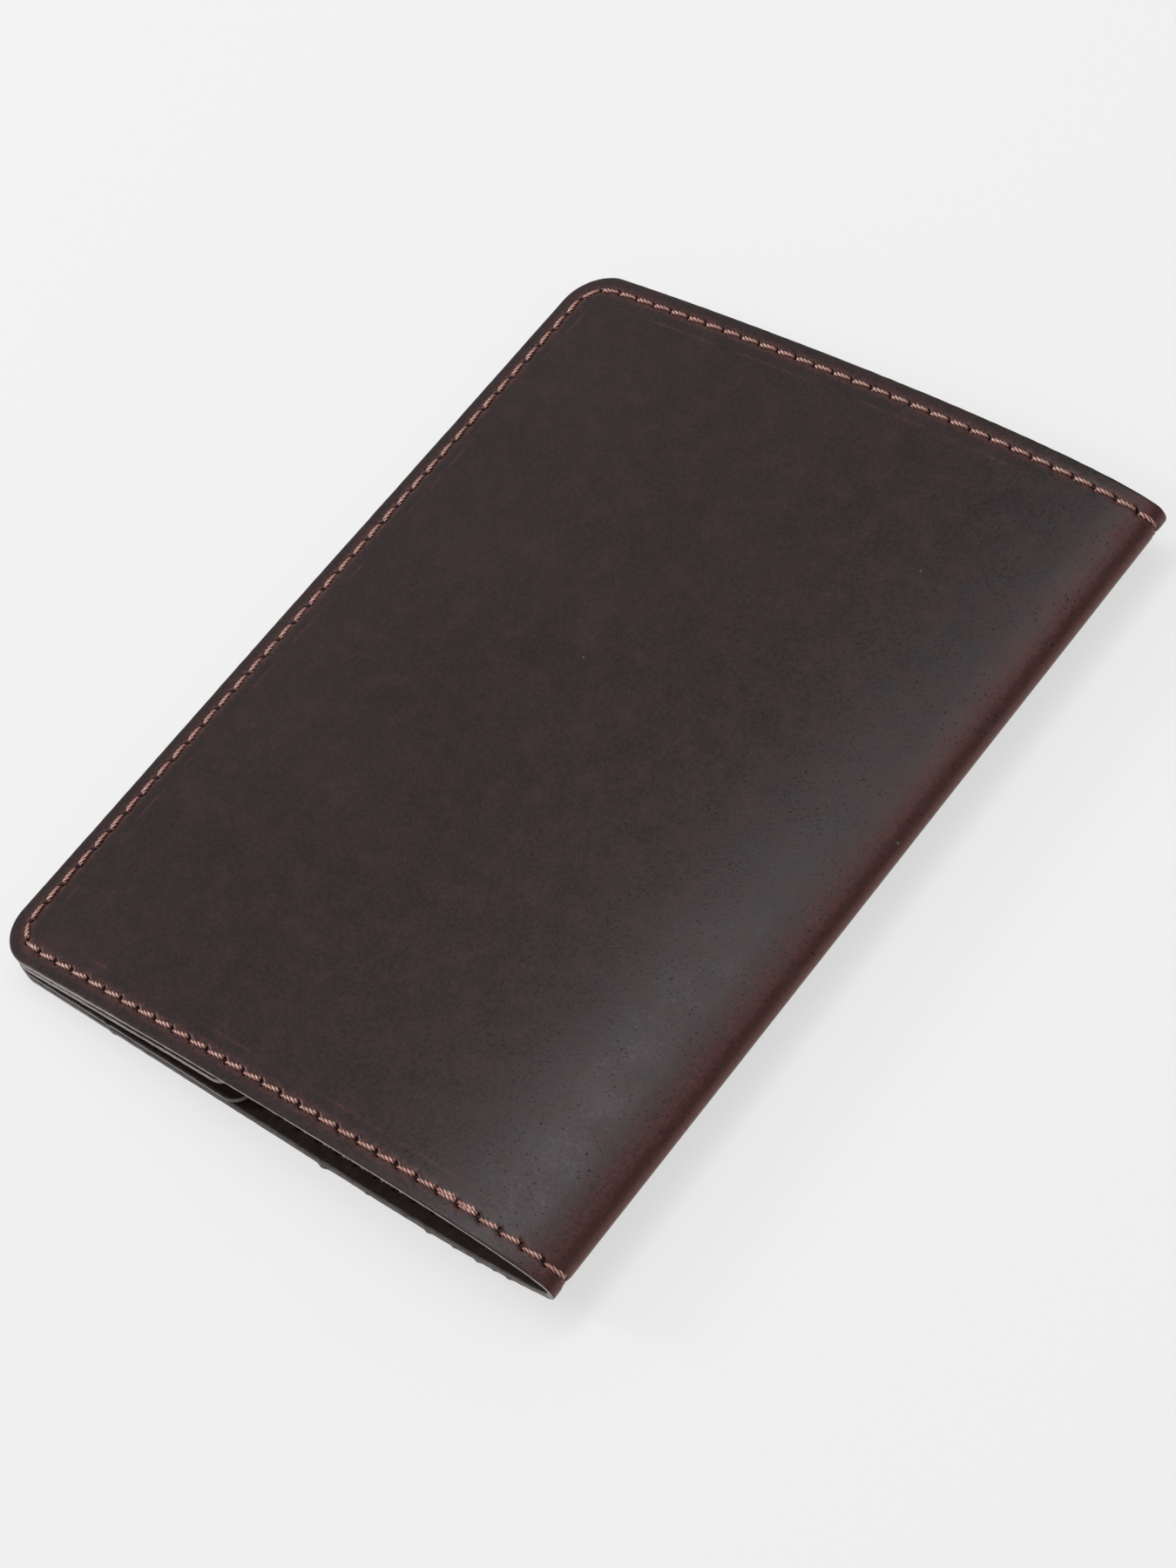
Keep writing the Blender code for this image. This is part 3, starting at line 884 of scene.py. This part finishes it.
def cut_edge(look, where, u, side):
    """The cut edge: pale fibres, burnished in two lines, the one by the grain also a painted glint,
    with the dye in its top, which on the back's edge, at the table, is also painted contact shade.
    The back's is darker than the front's, painted shade for an edge that lies lower, nearer the
    table."""
    fibres = look.cloud(where, 0.00050, 4, 0.7, stretch=(0.35, 0.35, 2.5))
    worn = look.cloud(where, 0.0045, 3, 0.6, shift=(3, 3, 3))
    # Painted shade: the back's edge lies lower, nearer the table, and is made darker than the
    # front's.
    lit_front = look.ramp(u, (TIP_U - 0.006, TIP_U + 0.002))
    raw = look.times(
        look.ramp(fibres, (0.30, 0.66)),
        look.ramp(worn, (0.25, 0.7), (0.45, 1)),
        look.ramp(lit_front, (0, 1), (0.30, 1)),
    )
    # A pale line near the grain side: burnished, and also a painted glint on the grain-side corner.
    grain_line_and_glint = look.times(
        look.ramp(side, (0.74, 0.82)),
        look.ramp(side, (0.88, 0.94), (1, 0)),
    )
    flesh_line = look.times(
        look.ramp(side, (0.18, 0.27)),
        look.ramp(side, (0.34, 0.44), (1, 0)),
        0.45,
    )
    burnish_and_glint = look.times(
        look.most(grain_line_and_glint, flesh_line),
        look.ramp(worn, (0.2, 0.6), (0.35, 0.85)),
    )
    # Painted shade: a near-black core on the back's edge, a dark one on the front's.
    core = look.mixed(lit_front, CUT_SHADED_BLACK, CUT_DARK)
    cut = look.mixed(look.most(raw, burnish_and_glint), core, CUT_LIGHT)
    # A dark line of dye in the grain side; on the back's edge, at the table, it is also painted
    # contact shade.
    return look.mixed(look.ramp(side, (0.92, 0.97)), cut, DYE_AND_CONTACT_SHADE)


def waxed_leather():
    """Waxed pull-up leather: a clouded dark brown grain, red-brown where it is bent or rubbed, a
    dark suede flesh side, and a paler fibrous cut edge with the dye in its top. Painted shade
    darkens the needle slits, a line along the fold and the back's cut edge, painted highlights lie
    on the fold's tip and the cut edge's grain-side corner, and the wax bloom also paints the
    sheen's tint."""
    look = Finish("waxed_leather")
    where = look.attribute("flat")
    inset, side, press = look.parts(look.attribute("make"))
    u = look.parts(where)[0]
    past_tip = look.minus(u, TIP_U)
    fine = look.cloud(where, 0.0007, 3, 0.65, shift=(0, 7, 0))
    speckle = look.cloud(where, 0.00032, 2, 0.6, shift=(0, 3, 5))
    warm = look.cloud(where, 0.0048, 6, 0.72, shift=(9, 2, 0))
    nap = look.cloud(where, 0.0007, 4, 0.7, stretch=(1, 0.35, 1))
    scored = scratches(look, where)
    pores = open_pores(look, where, past_tip)

    grain = clouded_brown(look, where, fine, speckle, warm)
    grain = marked_by_seam(look, grain, where, fine)
    grain = marked_by_fold(look, grain, where, fine, speckle, past_tip)
    grain = look.mixed(look.times(scored, SCRATCH_COVER), grain, RED_BROWN)
    grain = look.mixed(look.times(pores, PORE_COVER), grain, PORE)
    lint = look.ramp(look.dots(where, 0.0085, (1.0, 0.7, 1)), (0.010, 0.024), (1, 0))
    grain = look.mixed(look.times(lint, LINT_COVER), grain, LINT)

    on_grain = look.ramp(side, (0.45, 0.55))
    rim = look.ramp(inset, (0.00004, 0.00012), (1, 0))
    colour = look.mixed(on_grain, suede(look, where, nap), grain)
    colour = look.mixed(rim, colour, cut_edge(look, where, u, side))
    colour = look.mixed(look.ramp(press, (0.02, 0.30), (0, 0.45)), colour, RED_BROWN)
    # Painted shade: the needle slits darken to near black, as the shade inside the holes.
    colour = look.mixed(look.ramp(press, (0.25, 0.55)), colour, HOLE_SHADE)
    link(look.tree, colour, look.surface.inputs["Base Color"])

    grain_rough = look.plus(
        look.ramp(warm, (0.35, 0.65), (0.29, 0.35)),
        look.ramp(fine, (0.25, 0.75), (-0.04, 0.04)),
        look.ramp(speckle, (0.25, 0.75), (-0.05, 0.05)),
    )
    rough = look.between(rim, look.between(on_grain, FLESH_ROUGH, grain_rough), CUT_ROUGH)
    link(look.tree, rough, look.surface.inputs["Roughness"])

    waxed = look.times(
        look.plus(
            look.ramp(speckle, (0.3, 0.7), (0.09, 0.11)),
            look.ramp(fine, (0.3, 0.7), (0.083, 0.107)),
        ),
        look.minus(1, look.times(pores, PORE_DULLS)),
    )
    link(look.tree, waxed, look.surface.inputs["Specular IOR Level"])
    look.surface.inputs["Specular Tint"].default_value = GLOSS_TINT

    relief = look.plus(fine, look.times(speckle, SPECKLE_HEIGHT))
    relief = look.minus(relief, look.times(pores, PORE_HEIGHT), look.times(scored, SCRATCH_HEIGHT))
    bare_grain = look.times(on_grain, look.minus(1, rim))
    height = look.between(bare_grain, look.times(nap, NAP_HEIGHT), relief)
    swell = look.bump(look.cloud(where, 0.009, 1, 0.5, shift=(6, 6, 2)), *HIDE_SWELL)
    link(look.tree, look.bump(height, *GRAIN_DEPTH, swell), look.surface.inputs["Normal"])
    return look.material


leather = waxed_leather()

cover_outline = outline_steps("front", 0, seam_length(REACH["front"]))
cover_outline.append(Vector((TIP_U, -HEIGHT / 2)))
cover_outline += reversed(outline_steps("back", 0, seam_length(REACH["back"]))[1:])
fold_lines = [TIP_U]
for step in FOLD_SCORES:
    fold_lines += [TIP_U - step, TIP_U + step]
cover_insets = RING_INSETS + INNER_INSETS
cover_bm = leather_blank(cover_outline, HALF, COVER_THICKNESS, cover_insets, (fold_lines, ()))

all_slits = slits("front") + slits("back")
bare_slits = [mark for mark in all_slits if from_fore_edge(mark[0].x) > POCKET_DEPTH]
cover_pits = {
    "grain": (Pits(all_slits), cover_groove),
    "flesh": (Pits(bare_slits), shallow_groove),
}

half_bms = {"front": cover_bm, "back": cover_bm.copy()}
covers = {}
for half, bm in half_bms.items():
    cut = bmesh.ops.bisect_plane(
        bm,
        geom=bm.verts[:] + bm.edges[:] + bm.faces[:],
        plane_co=(TIP_U, 0, 0),
        plane_no=(1, 0, 0),
        dist=SAME_PLACE,
        clear_inner=half == "front",
        clear_outer=half == "back",
    )
    open_edges = [edge for edge in bm.edges if edge.is_boundary]
    bmesh.ops.holes_fill(bm, edges=open_edges, sides=0)
    bmesh.ops.recalc_face_normals(bm, faces=bm.faces)
    shape_sheet(
        bm,
        COVER_LIMITS,
        HALF,
        COVER_THICKNESS,
        cover_pits,
        grain_up=True,
        undercut=cover_undercut,
        wave=cover_wave,
    )
    covers[half] = finished(bm, f"{half}_cover_leather", leather)


def bend_front(piece):
    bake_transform(piece)


def bend_back(piece):
    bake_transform(piece)


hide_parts("front_cover", "spine_fold")
bend_front(covers["front"])
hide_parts("back_cover")
bend_back(covers["back"])

# ---------------------------------------------------------------------------------------------
# A pocket flap of thinner leather lies inside each cover, grain side in, and holds a cover of the
# passport. It is sewn to the cover round three sides, and its mouth faces the spine, with small
# round corners.

MOUTH_STEPS = 10
MOUTH_SPACING = 0.0015
FLAP_WAVE_HEIGHT = 0.00008
FLAP_WAVE_LENGTH = 0.03
FLAP_WAVE_PLACE = 0.7


def mouth_outline(half):
    """The outline of a flap along its mouth, from the tail to the head, in the flat."""
    points = []
    for step in range(MOUTH_STEPS + 1):
        angle = math.pi / 2 * step / MOUTH_STEPS
        edge = POCKET_DEPTH - MOUTH_CORNER * (1 - math.sin(angle))
        points.append(Vector((edge, -HEIGHT / 2 + MOUTH_CORNER * (1 - math.cos(angle)))))
    count = round((HEIGHT - 2 * MOUTH_CORNER) / MOUTH_SPACING)
    for step in range(1, count):
        points.append(Vector((POCKET_DEPTH, points[MOUTH_STEPS].y + MOUTH_SPACING * step)))
    points += [Vector((point.x, -point.y)) for point in reversed(points[1 : MOUTH_STEPS + 1])]
    if half == "front":
        points = [Vector((END_U - point.x, point.y)) for point in points]
    return points


def no_undercut(u):
    return 0.0


def flap_wave(u, v):
    """The mouth's edge stands a little unevenly."""
    strength = FLAP_WAVE_HEIGHT * min(from_fore_edge(u) / POCKET_DEPTH, 1)
    return noise.noise(Vector((u, v, FLAP_WAVE_PLACE)) / FLAP_WAVE_LENGTH) * strength


for half in ("front", "back"):
    reach = REACH[half]
    start = reach - POCKET_DEPTH + MOUTH_CORNER
    outline = outline_steps(half, start, seam_length(reach) - start) + mouth_outline(half)
    beside_u = [inset if half == "back" else END_U - inset for inset in INNER_INSETS]
    beside_v = [side * (HEIGHT / 2 - inset) for inset in INNER_INSETS for side in (-1, 1)]
    bm = leather_blank(outline, FLAP_OUTER_W, FLAP_THICKNESS, RING_INSETS, (beside_u, beside_v))
    marks = [mark for mark in slits(half) if from_fore_edge(mark[0].x) < POCKET_DEPTH]
    if half == "front":
        limits = (END_U - POCKET_DEPTH, END_U, MOUTH_CORNER, COVER_CORNER)
    else:
        limits = (0, POCKET_DEPTH, COVER_CORNER, MOUTH_CORNER)
    flap_pits = {"grain": (Pits(marks), deep_groove), "flesh": (Pits([]), shallow_groove)}
    shape_sheet(
        bm,
        limits,
        FLAP_OUTER_W,
        FLAP_THICKNESS,
        flap_pits,
        grain_up=False,
        undercut=no_undercut,
        wave=flap_wave,
    )
    flap = finished(bm, f"{half}_flap_leather", leather)
    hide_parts(f"{half}_pocket_flap")
    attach(flap, f"{half}_half")

# ---------------------------------------------------------------------------------------------
# One seam goes round all the edges in a lockstitch of waxed three-ply thread. Each stitch comes
# up at the outer end of one slit, crosses the seam at a slant and goes down at the inner end of
# the next. At the head, near the spine, the seam's end is sewn twice over.

# The thread is pulled flat. Its plies stand out and its grooves lie in by these shares.
THREAD_WIDTH = 0.00068
THREAD_HEIGHT = 0.00052
PLY_CREST = 1.10
PLY_VALLEY = 0.70
TURNS = 1.45
PLY_SIDES = 6
# A stitch dives this deep into its slits. Its middle stands this far out of the leather's face,
# or lies under it where the back rests on the table and where the two flaps meet.
DIVE = 0.00050
PROUD = 0.00007
FLUSH_BELOW = -0.00031
FLUSH_INSIDE = -0.00019
# How far along its slits it reaches, where it comes up and where it goes down, and how much of
# its slant across the seam is taken back inside, where it lies almost along the seam
NEAR_REACH = 0.80
FAR_REACH = 0.45
INSIDE_TURN = 1.2
SIDE_SAG = 0.00006
# Along a stitch: (share of its length, share of the dive or the rise, thickness)
STITCH_FORM = (
    (0.00, -1.00, 0.80),
    (0.06, -0.30, 0.94),
    (0.12, 0.65, 1.00),
    (0.22, 1.00, 1.05),
    (0.34, 1.00, 1.03),
    (0.46, 0.88, 0.97),
    (0.58, 0.66, 0.90),
    (0.70, 0.40, 0.83),
    (0.82, 0.10, 0.76),
    (0.92, -0.30, 0.70),
    (1.00, -0.85, 0.64),
)
SALMON = (0.2900, 0.1020, 0.0700)
# Painted highlight on the thread's crests
THREAD_HIGHLIGHT = (0.9800, 0.6600, 0.5800)
# Painted shade in the thread's grooves and where it dives into its slits
THREAD_SHADE = (0.0700, 0.0190, 0.0120)
THREAD_GLOSS = 0.8
# The fibres' relief: (height, strength)
FIBRE_RELIEF = (0.00003, 0.6)


def waxed_thread():
    """Waxed thread: salmon plies with fine pale fibres, a painted highlight on the crests and
    towards where each stitch comes up, and painted shade in the grooves between and where it dives
    into its slits.
    """
    look = Finish("waxed_thread")
    ply, along, deep = look.parts(look.attribute("make"))
    where = look.attribute("flat")
    fibres = look.cloud(where, 0.00022, 3, 0.6)
    patches = look.cloud(where, 0.004, 2, 0.5)
    # Painted highlight: the ply crests and the first part of each stitch are made pale, over the
    # fibres' own flecks.
    tone = look.times(
        look.ramp(fibres, (0.3, 0.7), (0.35, 1)),
        look.ramp(patches, (0.3, 0.7), (0.7, 1)),
        look.ramp(along, (0.30, 0.95), (1.0, 0.25)),
        look.ramp(ply, (0.42, 0.92)),
    )
    colour = look.mixed(tone, SALMON, THREAD_HIGHLIGHT)
    # Painted shade: dark in the grooves between the plies and where the stitch dives into its slit.
    colour = look.mixed(look.ramp(ply, (0.05, 0.60), (0.95, 0)), colour, THREAD_SHADE)
    colour = look.mixed(look.ramp(deep, (0.2, 0.9)), colour, THREAD_SHADE)
    link(look.tree, colour, look.surface.inputs["Base Color"])
    rough = look.ramp(fibres, (0.3, 0.7), (0.22, 0.38))
    link(look.tree, rough, look.surface.inputs["Roughness"])
    look.surface.inputs["Specular IOR Level"].default_value = THREAD_GLOSS
    link(look.tree, look.bump(fibres, *FIBRE_RELIEF), look.surface.inputs["Normal"])
    return look.material


thread = waxed_thread()


def partner(vert, new):
    """The new vertex that was drawn out of this one."""
    return next(edge.other_vert(vert) for edge in vert.link_edges if edge.other_vert(vert) in new)


def thread_rings(bm):
    """The rings of a closed tube, from one end to the other, all still in one place."""
    ring = bmesh.ops.create_circle(bm, cap_ends=True, radius=1, segments=PLY_SIDES)["verts"]
    edges = ring[0].link_faces[0].edges[:]
    rings = [ring]
    for _ in STITCH_FORM[1:]:
        grown = bmesh.ops.extrude_edge_only(bm, edges=edges)["geom"]
        new = {item for item in grown if isinstance(item, bmesh.types.BMVert)}
        edges = [item for item in grown if isinstance(item, bmesh.types.BMEdge)]
        edges = [edge for edge in edges if set(edge.verts) <= new]
        rings.append([partner(vert, new) for vert in rings[-1]])
    bm.faces.new(rings[-1])
    return rings


def add_stitch(bm, layers, ends, levels, outward, top, phase):
    """One stitch between two places of the flat, from where it stands out of its slit to where it
    sinks in the next. outward is 1 on the cover's grain, and -1 inside."""
    flat, make = layers
    start, end = ends
    chord = end - start
    across = Vector((-chord.y, chord.x)).normalized()
    for (share, lift, slim), ring in zip(STITCH_FORM, thread_rings(bm)):
        sag = outward * SIDE_SAG * math.sin(math.pi * share)
        centre = start + chord * share + across * sag
        height = top * lift if lift > 0 and top > 0 else top + DIVE * min(lift, 0)
        base = levels[0] + (levels[1] - levels[0]) * share
        for index, vert in enumerate(ring):
            crest = index % 2 == 0
            radius = (PLY_CREST if crest else PLY_VALLEY) * slim / 2
            angle = phase + 2 * math.pi * (index / PLY_SIDES + outward * TURNS * share)
            place = centre + across * math.cos(angle) * radius * THREAD_WIDTH
            w = base + outward * (height + math.sin(angle) * radius * THREAD_HEIGHT)
            vert[flat] = (place.x, place.y, w)
            vert[make] = (1.0 if crest else 0.0, share, min(max(-lift, 0), 1))
            vert.co = bent(place.x, place.y, w)


def stitch_ends(half, low, high, inside):
    """The ends of the stitch between two slits, in clockwise order round the grain."""
    if half == "back":
        low, high = high, low
    ends = []
    for distance, reach in ((low, NEAR_REACH), (high, -FAR_REACH)):
        centre, out = seam_flat(half, distance)
        slant = slit_direction(out)
        if inside:
            slant = slant - INSIDE_TURN * slant.dot(out) * out
        ends.append(centre + slant * reach * SLIT_HALF)
    return ends


def level_at(point, inside):
    """The face that the thread lies on, as a w of the flat."""
    if not inside:
        return HALF
    return FLAP_INNER_W if from_fore_edge(point.x) < POCKET_DEPTH else -HALF


# The seam's own end at the head: two stitches are sewn over, the first this far from the
# fore-edge. The upper stitch lies a little ahead of the lower one, further in and higher.
DOUBLED_FROM = 0.0942
DOUBLED_COUNT = 2
DOUBLE_AHEAD = 0.00035
DOUBLE_IN = 0.00030
DOUBLE_UP = 0.00016

# The twist starts anywhere round the thread, so that no two stitches look the same.
PHASE_SPREAD = 6
PHASE_RATE = 900
PHASE_INSIDE = 3.7
DOUBLED_RATE = 700
DOUBLED_ROW = 1.5


def twist_phase(place, row):
    """The angle round the thread at which a stitch's first ply starts."""
    return noise.noise((place, row, 0.5)) * PHASE_SPREAD


for half in ("front", "back"):
    bm = bmesh.new()
    layers = (bm.verts.layers.float_vector.new("flat"), bm.verts.layers.float_vector.new("make"))
    pairs = list(zip(NEEDLES[half], NEEDLES[half][1:]))
    for low, high in pairs:
        for inside in (False, True):
            ends = stitch_ends(half, low, high, inside)
            if inside:
                proud = from_fore_edge(ends[0].x) > POCKET_DEPTH
                top = PROUD if proud else FLUSH_INSIDE
            else:
                top = PROUD if half == "front" else FLUSH_BELOW
            levels = [level_at(end, inside) for end in ends]
            phase = twist_phase(low * PHASE_RATE, inside * PHASE_INSIDE)
            add_stitch(bm, layers, ends, levels, -1 if inside else 1, top, phase)
    if half == "front":
        over = [pair for pair in pairs if REACH["front"] - pair[0] <= DOUBLED_FROM][:DOUBLED_COUNT]
        for low, high in over:
            shift = Vector((DOUBLE_AHEAD, -DOUBLE_IN))
            ends = [end + shift for end in stitch_ends(half, low, high, False)]
            phase = twist_phase(high * DOUBLED_RATE, DOUBLED_ROW)
            add_stitch(bm, layers, ends, [HALF + DOUBLE_UP] * 2, 1, PROUD, phase)
    bmesh.ops.recalc_face_normals(bm, faces=bm.faces)
    piece = finished(bm, f"{half}_seam", thread, math.pi)
    if half == "front":
        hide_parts("front_seam_thread", "spine_seam_thread_head", "spine_seam_thread_tail")
        bend_front(piece)
    else:
        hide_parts("back_seam_thread")
        bend_back(piece)
